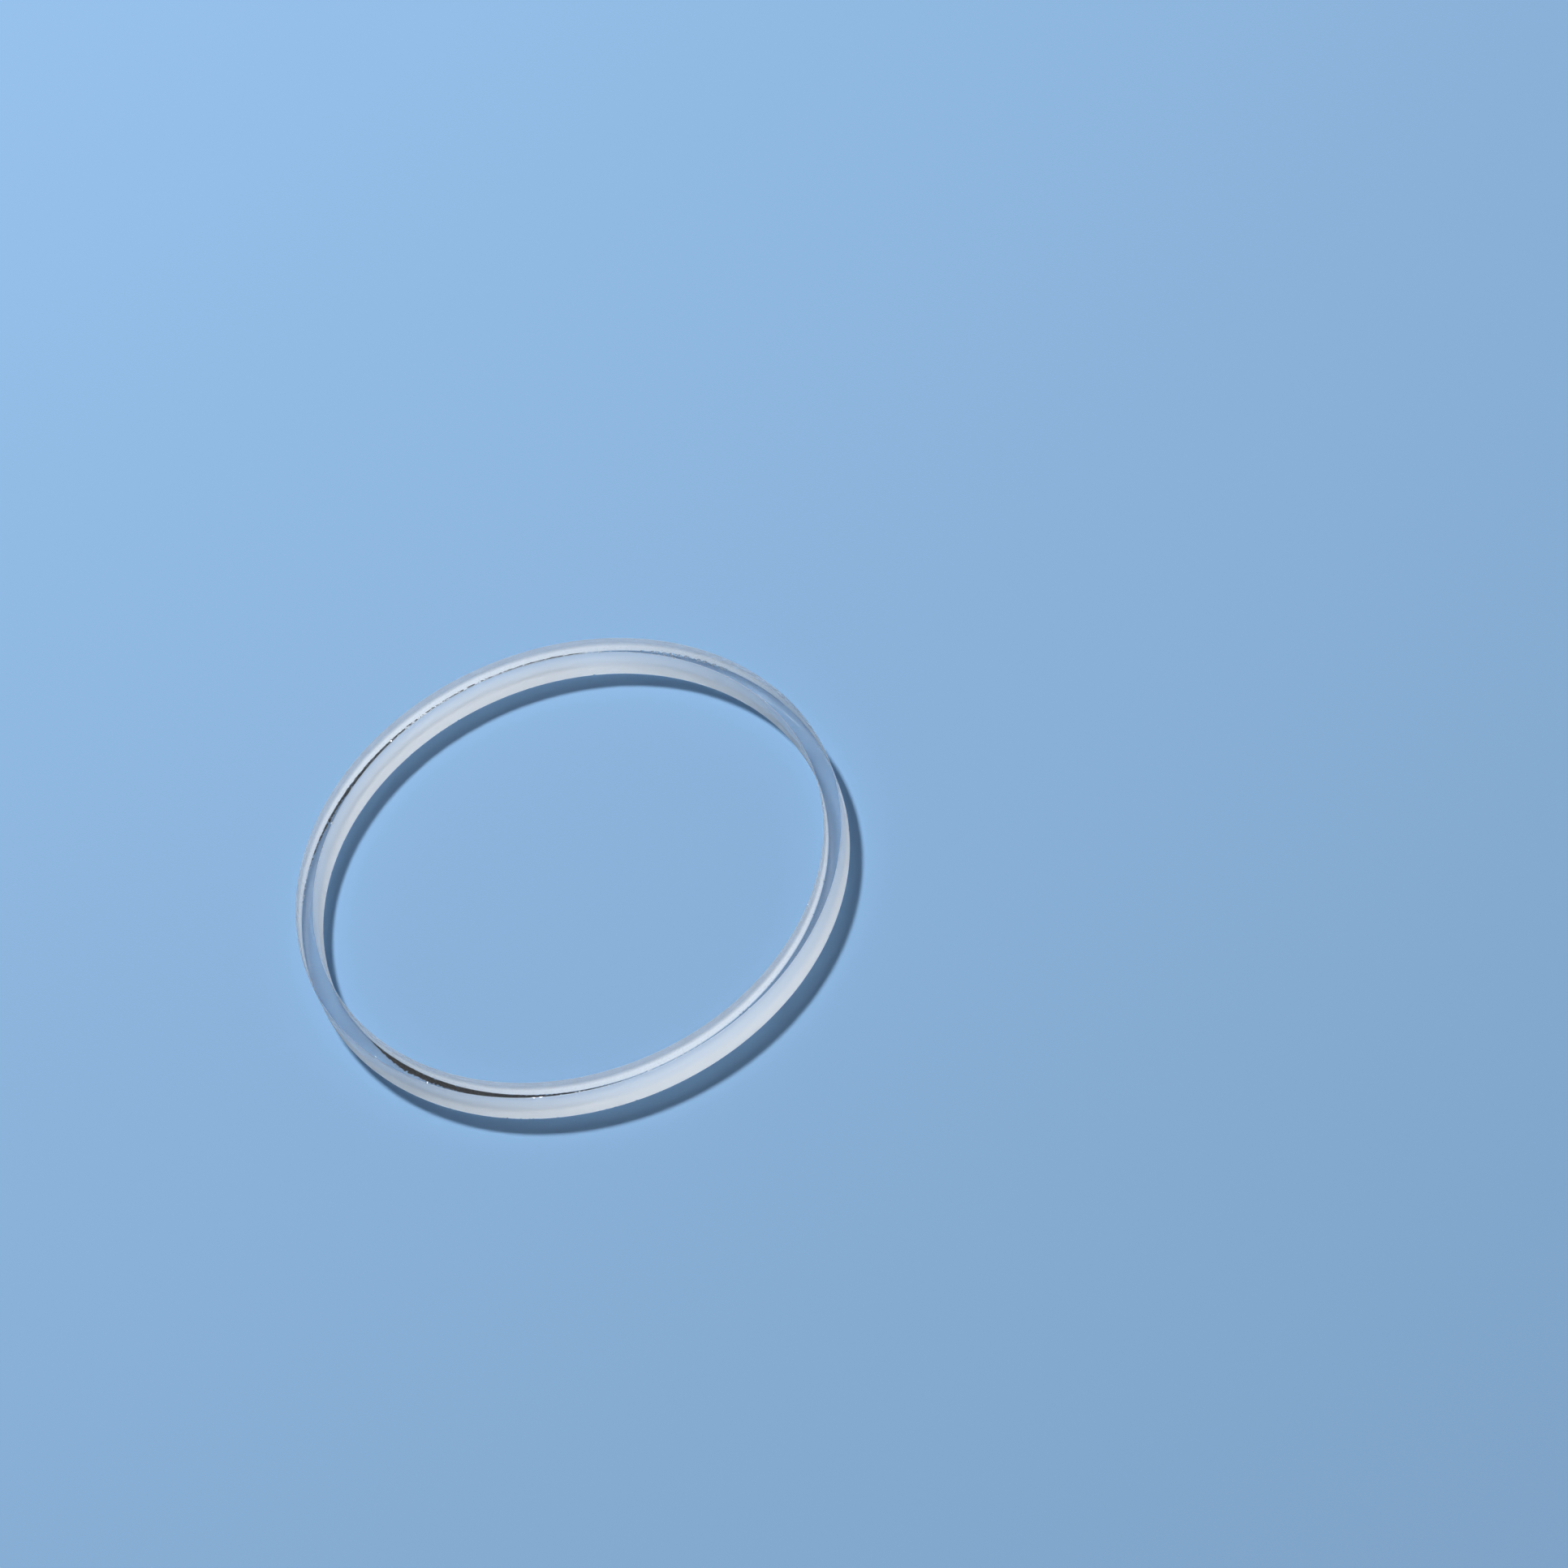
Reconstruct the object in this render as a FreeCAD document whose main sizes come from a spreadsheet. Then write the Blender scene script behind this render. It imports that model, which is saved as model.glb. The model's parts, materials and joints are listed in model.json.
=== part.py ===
import FreeCAD, Part
import Sketcher
import os

# A ring of clear fused quartz, core-cut from polished plate. It lies on its lower face:
# the origin is the centre of that face and +Z runs up the ring's axis. All sizes are in millimetres.

NODE = "quartz_ring"

SIZES = {
    "outer_diameter": 76.0,
    "wall_width": 2.5,
    "ring_height": 5.0,
    "edge_break": 0.08,
}


def add_sheet(doc):
    """The driving dimensions, one row each: its name, and its value under that name."""
    sheet = doc.addObject("Spreadsheet::Sheet", "sizes")
    for row, (name, value) in enumerate(SIZES.items(), start=1):
        sheet.set(f"A{row}", name)
        sheet.set(f"B{row}", str(value))
        sheet.setAlias(f"B{row}", name)
    doc.recompute()


def lower_face_plane(body):
    """The body's own plane at the height of the ring's lower face."""
    planes = [p for p in body.Origin.OriginFeatures if p.Role == "XY_Plane"]
    return planes[0]


def add_circle(body, name, radius):
    """A sketch on the lower face's plane with one circle about the ring's axis."""
    sketch = body.newObject("Sketcher::SketchObject", name)
    sketch.AttachmentSupport = [(lower_face_plane(body), "")]
    sketch.MapMode = "FlatFace"
    centre = FreeCAD.Vector(0, 0, 0)
    upwards = FreeCAD.Vector(0, 0, 1)
    drawn_radius = SIZES["outer_diameter"] / 2
    sketch.addGeometry(Part.Circle(centre, upwards, drawn_radius), False)
    sketch.addConstraint(Sketcher.Constraint("Coincident", 0, 3, -1, 1))
    sketch.addConstraint(Sketcher.Constraint("Radius", 0, drawn_radius))
    sketch.renameConstraint(1, "radius")
    sketch.setExpression("Constraints.radius", radius)
    return sketch


def add_blank(body):
    """The disc that the outer core drill frees from the plate."""
    blank = body.newObject("PartDesign::Pad", "blank")
    blank.Profile = add_circle(body, "outer_cut", "sizes.outer_diameter / 2")
    blank.setExpression("Length", "sizes.ring_height")


def add_bore(body):
    """The hole that the inner core drill leaves, from the lower face up through the plate."""
    bore = body.newObject("PartDesign::Pocket", "bore")
    bore.Profile = add_circle(body, "inner_cut", "sizes.outer_diameter / 2 - sizes.wall_width")
    bore.Type = "ThroughAll"
    bore.Reversed = True


def round_edges(shape):
    """The names of the circular edges, where the flat faces meet the cut walls."""
    return [
        f"Edge{number}"
        for number, edge in enumerate(shape.Edges, start=1)
        if isinstance(edge.Curve, Part.Circle)
    ]


def add_edge_break(doc, body):
    """The small flat that a hand lap puts on each of the four edges."""
    doc.recompute()
    cut_ring = body.Tip
    edge_break = body.newObject("PartDesign::Chamfer", "edge_break")
    edge_break.Base = (cut_ring, round_edges(cut_ring.Shape))
    edge_break.setExpression("Size", "sizes.edge_break")


def add_ring(doc):
    body = doc.addObject("PartDesign::Body", NODE)
    body.Label = NODE
    body.Placement = FreeCAD.Placement()
    add_blank(body)
    add_bore(body)
    add_edge_break(doc, body)
    return body


def check(doc, ring):
    """Stops before anything is written if a feature failed or the ring isn't one sound solid."""
    for item in doc.Objects:
        if "Invalid" in item.State or "Error" in item.State:
            raise RuntimeError(f"{item.Name} failed: {item.State}")
    volumes = [doc.getObject(name).Shape.Volume for name in ("blank", "bore", "edge_break")]
    if volumes != sorted(volumes, reverse=True) or len(set(volumes)) < len(volumes):
        raise RuntimeError(f"a cut took nothing away: {volumes}")
    if ring.Shape.isNull() or not ring.Shape.isValid() or len(ring.Shape.Solids) != 1:
        raise RuntimeError(f"{ring.Label} isn't one valid solid")


doc = FreeCAD.newDocument("quartz_ring_model")
add_sheet(doc)
ring = add_ring(doc)
doc.recompute()
check(doc, ring)

os.makedirs("parts", exist_ok=True)
ring.Shape.exportStep(f"parts/{ring.Label}.step")
print(f"{ring.Label}: {ring.Shape.Volume:.2f} cubic mm")
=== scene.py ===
import json
import math
from random import Random

import bpy
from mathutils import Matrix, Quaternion, Vector


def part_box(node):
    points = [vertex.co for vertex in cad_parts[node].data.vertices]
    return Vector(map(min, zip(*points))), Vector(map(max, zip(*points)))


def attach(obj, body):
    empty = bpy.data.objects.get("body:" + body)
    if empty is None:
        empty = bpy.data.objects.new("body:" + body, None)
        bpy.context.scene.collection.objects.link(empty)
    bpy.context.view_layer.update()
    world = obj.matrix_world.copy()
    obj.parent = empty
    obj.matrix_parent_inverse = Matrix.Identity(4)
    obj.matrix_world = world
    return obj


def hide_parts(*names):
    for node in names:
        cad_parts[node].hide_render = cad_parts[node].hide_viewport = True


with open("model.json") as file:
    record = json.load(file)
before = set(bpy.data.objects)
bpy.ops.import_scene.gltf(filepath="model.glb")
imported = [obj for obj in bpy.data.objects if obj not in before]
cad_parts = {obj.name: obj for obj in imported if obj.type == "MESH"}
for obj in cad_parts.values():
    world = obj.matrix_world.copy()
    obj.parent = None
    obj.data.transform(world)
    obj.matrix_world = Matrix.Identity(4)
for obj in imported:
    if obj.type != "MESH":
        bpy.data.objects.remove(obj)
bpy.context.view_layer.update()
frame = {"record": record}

# The ring. One piece of clear fused quartz, core-drilled out of a plate that was polished on both
# sides: the flat faces stay clear, and the two round walls keep the frost of the diamond drill.
# A hand lap has taken the sharpness off its four edges.

ring_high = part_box("quartz_ring")[1]
bore_mount = next(m for m in frame["record"]["mounts"] if m["name"] == "bore")
outer_radius = ring_high.x
inner_radius = bore_mount["dims"]["r_mm"] / 1000
height = ring_high.z
wall = outer_radius - inner_radius
middle_radius = (outer_radius + inner_radius) / 2

edge_break = 0.00008
rows_beside_edge = (0.00015, 0.00023, 0.00034, 0.0005)
last_row = rows_beside_edge[-1]
wall_thirds = (1 / 3, 2 / 3)
steps_round = 2160
merge_distance = 1e-7


def cut_section(place, normal):
    """Puts a point wherever the plane through place crosses the section's outline."""
    bpy.ops.mesh.select_all(action="SELECT")
    bpy.ops.mesh.bisect(plane_co=place, plane_no=normal, threshold=merge_distance)


bpy.ops.object.select_all(action="DESELECT")
bpy.ops.mesh.primitive_plane_add(
    size=1, location=(middle_radius, 0, height / 2), rotation=(math.pi / 2, 0, 0)
)
ring = bpy.context.object
ring.name = "clear_ring"
ring.scale = (wall, height, 1)
bpy.ops.object.transform_apply(location=True, rotation=True, scale=True)

bpy.ops.object.mode_set(mode="EDIT")
bpy.ops.mesh.select_all(action="SELECT")
bpy.ops.mesh.bevel(offset=edge_break, affect="VERTICES")
bpy.ops.mesh.delete(type="ONLY_FACE")
for row in rows_beside_edge:
    for z in (row, height - row):
        cut_section((middle_radius, 0, z), (0, 0, 1))
    for x in (inner_radius + row, outer_radius - row):
        cut_section((x, 0, height / 2), (1, 0, 0))
for share in wall_thirds:
    cut_section((middle_radius, 0, height * share), (0, 0, 1))
bpy.ops.object.mode_set(mode="OBJECT")

turn = ring.modifiers.new("turn", "SCREW")
turn.axis = "Z"
turn.angle = math.tau
turn.steps = steps_round
turn.render_steps = steps_round
turn.use_merge_vertices = True
turn.merge_threshold = merge_distance
bpy.ops.object.modifier_apply(modifier="turn")
bpy.ops.object.mode_set(mode="EDIT")
bpy.ops.mesh.select_all(action="SELECT")
bpy.ops.mesh.remove_doubles(threshold=merge_distance)
bpy.ops.mesh.normals_make_consistent(inside=False)
bpy.ops.object.mode_set(mode="OBJECT")

# The chips. Each is a shallow scoop out of an edge. They are few and small along most of it, and
# close together where the drill broke out of the plate: along the lower outer edge on the far
# side, and below the bore's wall on the near side.

chip_seed = 11
chip_runs = (
    # edge, first and last degree, spacing, usual half length, least and most width
    ("outer_upper", -180, 180, 0.0030, 0.00003, 0.0001, 0.00018),
    ("inner_upper", -180, 180, 0.0018, 0.00003, 0.0001, 0.0002),
    ("inner_upper", 86, 116, 0.0008, 0.00007, 0.0001, 0.0003),
    ("outer_lower", -180, 180, 0.0016, 0.00003, 0.0001, 0.0002),
    ("outer_lower", 141, 158, 0.00016, 0.00006, 0.00012, 0.00026),
    ("outer_lower", 72, 141, 0.00014, 0.00007, 0.00016, 0.00034),
    ("outer_lower", 36, 56, 0.00032, 0.00018, 0.0001, 0.0005),
    ("outer_lower", -124, -112, 0.0006, 0.00007, 0.0001, 0.00028),
    ("inner_lower", -180, 180, 0.0016, 0.00003, 0.0001, 0.0002),
    ("inner_lower", -110, -86, 0.0009, 0.00004, 0.0001, 0.0002),
    ("inner_lower", -156, -112, 0.00016, 0.00007, 0.00012, 0.00026),
    ("inner_lower", -72, -58, 0.0003, 0.00005, 0.0001, 0.00024),
)
smallest_chip = 0.00005
longest_for_its_width = 1.2
depth_for_its_length = 0.5
depth_spread = (0.6, 1.2)
deepest_chip = 0.0002
scoop_fullness = 0.6

large_chips = (
    # edge, degree and half length
    ("outer_lower", 52.6, 0.00034),
    ("outer_lower", 49.0, 0.00045),
    ("outer_lower", 45.2, 0.0003),
    ("outer_lower", 40.7, 0.0004),
    ("outer_lower", -16.0, 0.00022),
    ("inner_lower", -31.0, 0.00025),
    ("inner_upper", 139.7, 0.00018),
    ("inner_upper", 99.5, 0.0002),
    ("outer_lower", 142.3, 0.00018),
    ("outer_lower", 132.7, 0.0002),
)
large_width_for_its_length = 0.6


def edge_and_reach(place):
    """Names the edge that a point of the ring is nearest to, and says how far it is from it."""
    radius = math.hypot(place.x, place.y)
    side = "outer" if radius > middle_radius else "inner"
    level = "upper" if place.z > height / 2 else "lower"
    from_wall = min(outer_radius - radius, radius - inner_radius)
    from_face = min(height - place.z, place.z)
    return f"{side}_{level}", max(from_wall, from_face)


def radius_of(edge):
    return outer_radius if edge.startswith("outer") else inner_radius


points_near_edge = {}
for point in ring.data.vertices:
    edge, reach = edge_and_reach(point.co)
    if reach < last_row + merge_distance:
        turned = math.atan2(point.co.y, point.co.x) / math.tau
        step = round(turned * steps_round) % steps_round
        points_near_edge.setdefault((edge, step), []).append((point.index, reach))

chip_depth = {}


def cut_chip(edge, azimuth, half_length, width, depth):
    """Notes how deep one scoop takes each point near it."""
    step_length = radius_of(edge) * math.tau / steps_round
    middle_step = azimuth / math.tau * steps_round
    steps_each_way = math.ceil(half_length / step_length)
    for step in range(round(middle_step) - steps_each_way, round(middle_step) + steps_each_way + 1):
        along = (step - middle_step) * step_length / half_length
        for index, reach in points_near_edge[edge, step % steps_round]:
            left = 1 - along ** 2 - (reach / width) ** 2
            if left > 0:
                scooped = depth * left ** scoop_fullness
                chip_depth[index] = max(chip_depth.get(index, 0), scooped)


chance = Random(chip_seed)
for edge, first, last, spacing, usual, narrowest, widest in chip_runs:
    azimuth = math.radians(first)
    while azimuth < math.radians(last):
        width = chance.uniform(narrowest, widest)
        drawn = smallest_chip + chance.expovariate(1 / usual)
        half_length = min(drawn, width * longest_for_its_width)
        depth = half_length * depth_for_its_length * chance.uniform(*depth_spread)
        cut_chip(edge, azimuth, half_length, width, min(depth, deepest_chip))
        azimuth += chance.expovariate(1 / spacing) / radius_of(edge)
for edge, degrees, half_length in large_chips:
    width = edge_break + half_length * large_width_for_its_length
    cut_chip(edge, math.radians(degrees), half_length, width, deepest_chip)

chips = ring.vertex_groups.new(name="chips")
for index, depth in chip_depth.items():
    chips.add((index,), depth / deepest_chip, "REPLACE")
scoop = ring.modifiers.new("scoop", "DISPLACE")
scoop.vertex_group = "chips"
scoop.mid_level = 0
scoop.strength = -deepest_chip
bpy.ops.object.modifier_apply(modifier="scoop")

# The finishes. All are the same clear quartz. The polished faces, the ground walls and the broken
# edges differ in how rough they are and how much white scatter lies on them.

quartz_refraction = 1.4585
scatter_white = (0.99, 0.98, 0.965, 1)


class Reading:
    """A value that a finish's nodes work out. Arithmetic on it adds their Math nodes."""

    def __init__(self, socket):
        self.socket = socket

    def node(self, kind, settings, sockets, output=0):
        """Adds any other node to the same finish and gives one of its outputs."""
        tree = self.socket.id_data
        added = tree.nodes.new(kind)
        for name, value in settings.items():
            setattr(added, name, value)
        for name, value in sockets.items():
            if isinstance(value, Reading):
                tree.links.new(value.socket, added.inputs[name])
            else:
                added.inputs[name].default_value = value
        return Reading(added.outputs[output])

    def feed(self, shader, name):
        self.socket.id_data.links.new(self.socket, shader.inputs[name])

    def math(self, operation, first, second):
        return self.node("ShaderNodeMath", {"operation": operation}, {0: first, 1: second})

    def __add__(self, other):
        return self.math("ADD", self, other)

    def __sub__(self, other):
        return self.math("SUBTRACT", self, other)

    def __rsub__(self, other):
        return self.math("SUBTRACT", other, self)

    def __mul__(self, other):
        return self.math("MULTIPLY", self, other)

    def __truediv__(self, other):
        return self.math("DIVIDE", self, other)

    def __pow__(self, other):
        return self.math("POWER", self, other)

    def __lt__(self, other):
        return self.math("LESS_THAN", self, other)

    def __gt__(self, other):
        return self.math("GREATER_THAN", self, other)

    __radd__ = __add__
    __rmul__ = __mul__

    def between(self, low, high):
        """Rises smoothly from 0 at low to 1 at high."""
        settings = {"interpolation_type": "SMOOTHSTEP"}
        return self.node("ShaderNodeMapRange", settings, {0: self, 1: low, 2: high})

    def part(self, axis):
        return self.node("ShaderNodeSeparateXYZ", {}, {"Vector": self}, axis)

    def stretched(self, x, y, z):
        settings = {"operation": "MULTIPLY"}
        return self.node("ShaderNodeVectorMath", settings, {0: self, 1: (x, y, z)})

    def from_axis(self):
        """How far this place is from the ring's axis."""
        settings = {"operation": "LENGTH"}
        return self.node("ShaderNodeVectorMath", settings, {0: self.stretched(1, 1, 0)}, "Value")

    def noise(self, scale, detail=2):
        """Cloudy variation about 0.5, with scale clouds to the metre."""
        sockets = {"Vector": self, "Scale": scale, "Detail": detail}
        return self.node("ShaderNodeTexNoise", {}, sockets)

    def cells(self, scale, output):
        """Random points, about scale to the metre: the nearest one's distance, or its colour."""
        return self.node("ShaderNodeTexVoronoi", {}, {"Vector": self, "Scale": scale}, output)

    def bumps(self, distance, strength):
        sockets = {"Height": self, "Distance": distance, "Strength": strength}
        return self.node("ShaderNodeBump", {}, sockets)


def quartz_finish(name, tint):
    """A new finish of clear quartz: its material, its shader, and the place on the ring."""
    material = bpy.data.materials.new(name)
    material.use_nodes = True
    nodes = material.node_tree.nodes
    shader = nodes["Principled BSDF"]
    shader.inputs["Base Color"].default_value = tint
    shader.inputs["Transmission Weight"].default_value = 1
    shader.inputs["IOR"].default_value = quartz_refraction
    return material, shader, Reading(nodes.new("ShaderNodeTexCoord").outputs["Object"])


def lay_over(material, share, cover):
    """Lays a cover over the share of a finish that it hides."""
    output = material.node_tree.nodes["Material Output"]
    finish = Reading(output.inputs["Surface"].links[0].from_socket)
    finish.node("ShaderNodeMixShader", {}, {0: share, 1: finish, 2: cover}).feed(output, "Surface")


def whiten(material, place, share, passing):
    """Lays a white scatter over a finish, which lets part of the light through."""
    back = place.node("ShaderNodeBsdfDiffuse", {}, {"Color": scatter_white})
    through = place.node("ShaderNodeBsdfTranslucent", {}, {"Color": scatter_white})
    scatter = place.node("ShaderNodeMixShader", {}, {0: passing, 1: back, 2: through})
    lay_over(material, share, scatter)


# The painted shadow. Where the drill broke out of the plate, the shade beneath the ring that shows
# through the glass is painted as a dark, ragged band along two of the lower edges.

# Painted shadow: this dark colour stands for the shade under the ring, seen through the glass.
painted_shadow_colour = (0.024, 0.023, 0.023, 1)
painted_shadow_cover = 0.95
painted_shadow_rim = 0.12
painted_shadow_bands = (
    # wall, degrees where it begins, is full, thins out and ends, reach in along the face and up
    # the wall, how ragged its rim is, and how bare its specks are
    ("outer", 66, 76, 112, 164, 0.00052, 0.00042, 0.8, 0.55),
    ("inner", -166, -146, -134, -84, 0.0008, 0.00012, 0.35, 0.1),
)


def paint_shadow(material, place):
    """Lays the painted shadow, a dark ragged band, over a finish."""
    x, y, z = (place.part(axis) for axis in "XYZ")
    azimuth = y.math("ARCTAN2", y, x)
    from_axis = place.from_axis()
    from_wall = {"outer": outer_radius - from_axis, "inner": from_axis - inner_radius}
    raggedness = place.noise(2600, 4).between(0.3, 0.7) - 0.5
    specks = place.noise(7000).between(0.56, 0.66)
    shadow_share = 0
    for side, first, full, thinning, last, reach_in, reach_up, ragged, bare in painted_shadow_bands:
        begun = azimuth.between(math.radians(first), math.radians(full))
        ended = azimuth.between(math.radians(thinning), math.radians(last))
        width = begun * (1 - ended) * (1 + raggedness * ragged)
        reach = z.math("MAXIMUM", from_wall[side] / reach_in, z / reach_up)
        shadow_share = (width - reach).between(0, painted_shadow_rim) * (painted_shadow_cover - specks * bare) + shadow_share
    lay_over(material, shadow_share, place.node("ShaderNodeBsdfDiffuse", {}, {"Color": painted_shadow_colour}))


# The polished faces: clear, with a little dust and a faint bloom that wiping left.

polish_roughness = 0.012
bloom_roughness = 0.05
dust_white = 0.7
faint_haze = 0.04
cloudy_haze = 0.12
haze_passing = 0.3

polished, shader, place = quartz_finish("polished_quartz", (1, 1, 1, 1))
bloom = place.noise(260).between(0.45, 0.75)
(polish_roughness + bloom * bloom_roughness).feed(shader, "Roughness")
grains = place.cells(1100, "Distance")
grain_size = place.node("ShaderNodeSeparateColor", {}, {"Color": place.cells(1100, "Color")})
dust = grains < grain_size ** 9 * 0.11
haze = faint_haze + place.noise(4000).between(0.5, 0.8) * cloudy_haze
whiten(polished, place, dust * dust_white + haze, haze_passing)
paint_shadow(polished, place)

# The ground walls: the drill's frost with faint marks round it, and painted light that whitens it
# towards the lower edge, where light caught in the glass brightens the walls.
# The upper edge of the bore is lapped white.

wall_tint = (0.93, 0.965, 1, 1)
wall_roughness = 0.56
grain_roughness = 0.14
frost_and_light_low = 0.97
painted_light_fade = 0.81
painted_light_line = (0.3, 0.66)
frost_passing = 0.86
lapped_white = 0.7

ground, shader, place = quartz_finish("ground_quartz", wall_tint)
level = place.part("Z") / height
grain = place.noise(9000)
cloud = place.noise(500)
drill_marks = place.stretched(1, 1, 50).noise(130)
(wall_roughness + grain * grain_roughness).feed(shader, "Roughness")
(grain * 0.6 + drill_marks * 0.4).bumps(0.00003, 0.35).feed(shader, "Normal")
# Painted light: the white scatter is strongest at the lower edge and fades towards the top,
# standing for light caught inside the glass.
frost_and_painted_light = frost_and_light_low - level.between(*painted_light_line) * painted_light_fade
frost_and_painted_light = frost_and_painted_light + (cloud - 0.5) * 0.06 + (drill_marks - 0.5) * 0.1
lapped_edge = (level > 1 - edge_break / height) * (place.from_axis() < middle_radius)
whiten(ground, place, frost_and_painted_light + lapped_edge * lapped_white, frost_passing)
paint_shadow(ground, place)

# The broken edges: bare broken quartz in the chips, bright where it is crushed.

crushed_white = 0.7
crushed_passing = 0.3

broken, shader, place = quartz_finish("broken_quartz", (1, 1, 1, 1))
(0.08 + place.noise(6000) * 0.25).feed(shader, "Roughness")
place.cells(7000, "Distance").bumps(0.00004, 0.8).feed(shader, "Normal")
crushed = place.noise(3500).between(0.5, 0.62)
whiten(broken, place, crushed * crushed_white, crushed_passing)
paint_shadow(broken, place)

# Which face has which finish. A chip's own faces are broken, the rest of the two flats is
# polished, and the round walls and the lapped edges are ground.

broken_from = 0.12
level_enough = 0.9
crisp_angle = math.radians(25)

for finish in (polished, ground, broken):
    ring.data.materials.append(finish)
polished_slot, ground_slot, broken_slot = range(3)
bpy.ops.object.shade_smooth_by_angle(angle=crisp_angle)
for face in ring.data.polygons:
    edge, reach = edge_and_reach(face.center)
    depths = [chip_depth.get(index, 0) for index in face.vertices]
    if reach < last_row and sum(depths) / len(depths) > deepest_chip * broken_from:
        face.material_index = broken_slot
    elif reach > edge_break and abs(face.normal.z) > level_enough:
        face.material_index = polished_slot
    else:
        face.material_index = ground_slot
    face.use_smooth = face.material_index == broken_slot

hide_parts("quartz_ring")
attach(ring, "root")

# The floor. A plain pale sheet, wide enough for every view, just under the ring.

floor_width = 6.0
floor_gap = 0.00003
floor_colour = (0.23, 0.42, 0.67, 1)
floor_roughness = 0.8

bpy.ops.object.select_all(action="DESELECT")
bpy.ops.mesh.primitive_plane_add(size=floor_width, location=(0, 0, -floor_gap))
floor = bpy.context.object
floor.name = "floor"
paper = bpy.data.materials.new("floor_paper")
paper.use_nodes = True
shader = paper.node_tree.nodes["Principled BSDF"]
shader.inputs["Base Color"].default_value = floor_colour
shader.inputs["Roughness"].default_value = floor_roughness
floor.data.materials.append(paper)

# The light. A softbox high behind the ring shines through its frosted walls and throws their thin
# shadow towards the camera. A pale room, with a darker ceiling, fills the rest.

key_distance = 1.3
key_width = 0.13
key_azimuth = math.radians(102)
key_elevation = math.radians(58.5)
key_power = 17.5
room_colour = (0.86, 0.93, 1, 1)
wall_strength = 0.42
ceiling_strength = 0.05
wall_top = 0.15
ceiling_edge = 0.7

key_way = Vector((
    math.cos(key_azimuth) * math.cos(key_elevation),
    math.sin(key_azimuth) * math.cos(key_elevation),
    math.sin(key_elevation),
))
bpy.ops.object.light_add(type="AREA", location=key_way * key_distance)
key = bpy.context.object
key.name = "key_softbox"
key.data.shape = "SQUARE"
key.data.size = key_width
key.data.energy = key_power
key.rotation_mode = "QUATERNION"
key.rotation_quaternion = (-key_way).to_track_quat("-Z", "Y")

room = bpy.data.worlds.new("room")
room.use_nodes = True
background = room.node_tree.nodes["Background"]
background.inputs["Color"].default_value = room_colour
way = Reading(room.node_tree.nodes.new("ShaderNodeTexCoord").outputs["Generated"])
overhead = way.part("Z").between(wall_top, ceiling_edge)
strength = wall_strength + overhead * (ceiling_strength - wall_strength)
strength.feed(background, "Strength")
bpy.context.scene.world = room

# The camera. A long lens about a metre away looks down on the ring, rolled as the photograph is.

photo_side = 1932
focal_length_px = 9200
sensor_width = 36
camera_distance = 1.00617
camera_elevation = math.radians(50.866)
camera_roll = math.radians(-23.71)
ring_centre_px = (698.2, 1063.4)
nearest_seen = 0.01

ring_top_centre = Vector((0, 0, height))
towards_camera = Vector((0, -math.cos(camera_elevation), math.sin(camera_elevation)))
ring_in_lens = Vector((
    ring_centre_px[0] - photo_side / 2,
    photo_side / 2 - ring_centre_px[1],
    -focal_length_px,
))
look_at_ring = (-towards_camera).to_track_quat("-Z", "Y")
rolled = Quaternion((0, 0, 1), camera_roll)
ring_off_centre = Vector((0, 0, -1)).rotation_difference(ring_in_lens)

bpy.ops.object.camera_add(location=ring_top_centre + towards_camera * camera_distance)
camera = bpy.context.object
camera.name = "camera"
camera.rotation_mode = "QUATERNION"
camera.rotation_quaternion = look_at_ring @ rolled @ ring_off_centre.inverted()
camera.data.sensor_width = sensor_width
camera.data.lens = focal_length_px / photo_side * sensor_width
camera.data.clip_start = nearest_seen
bpy.context.scene.camera = camera
bpy.context.scene.view_settings.view_transform = "Standard"
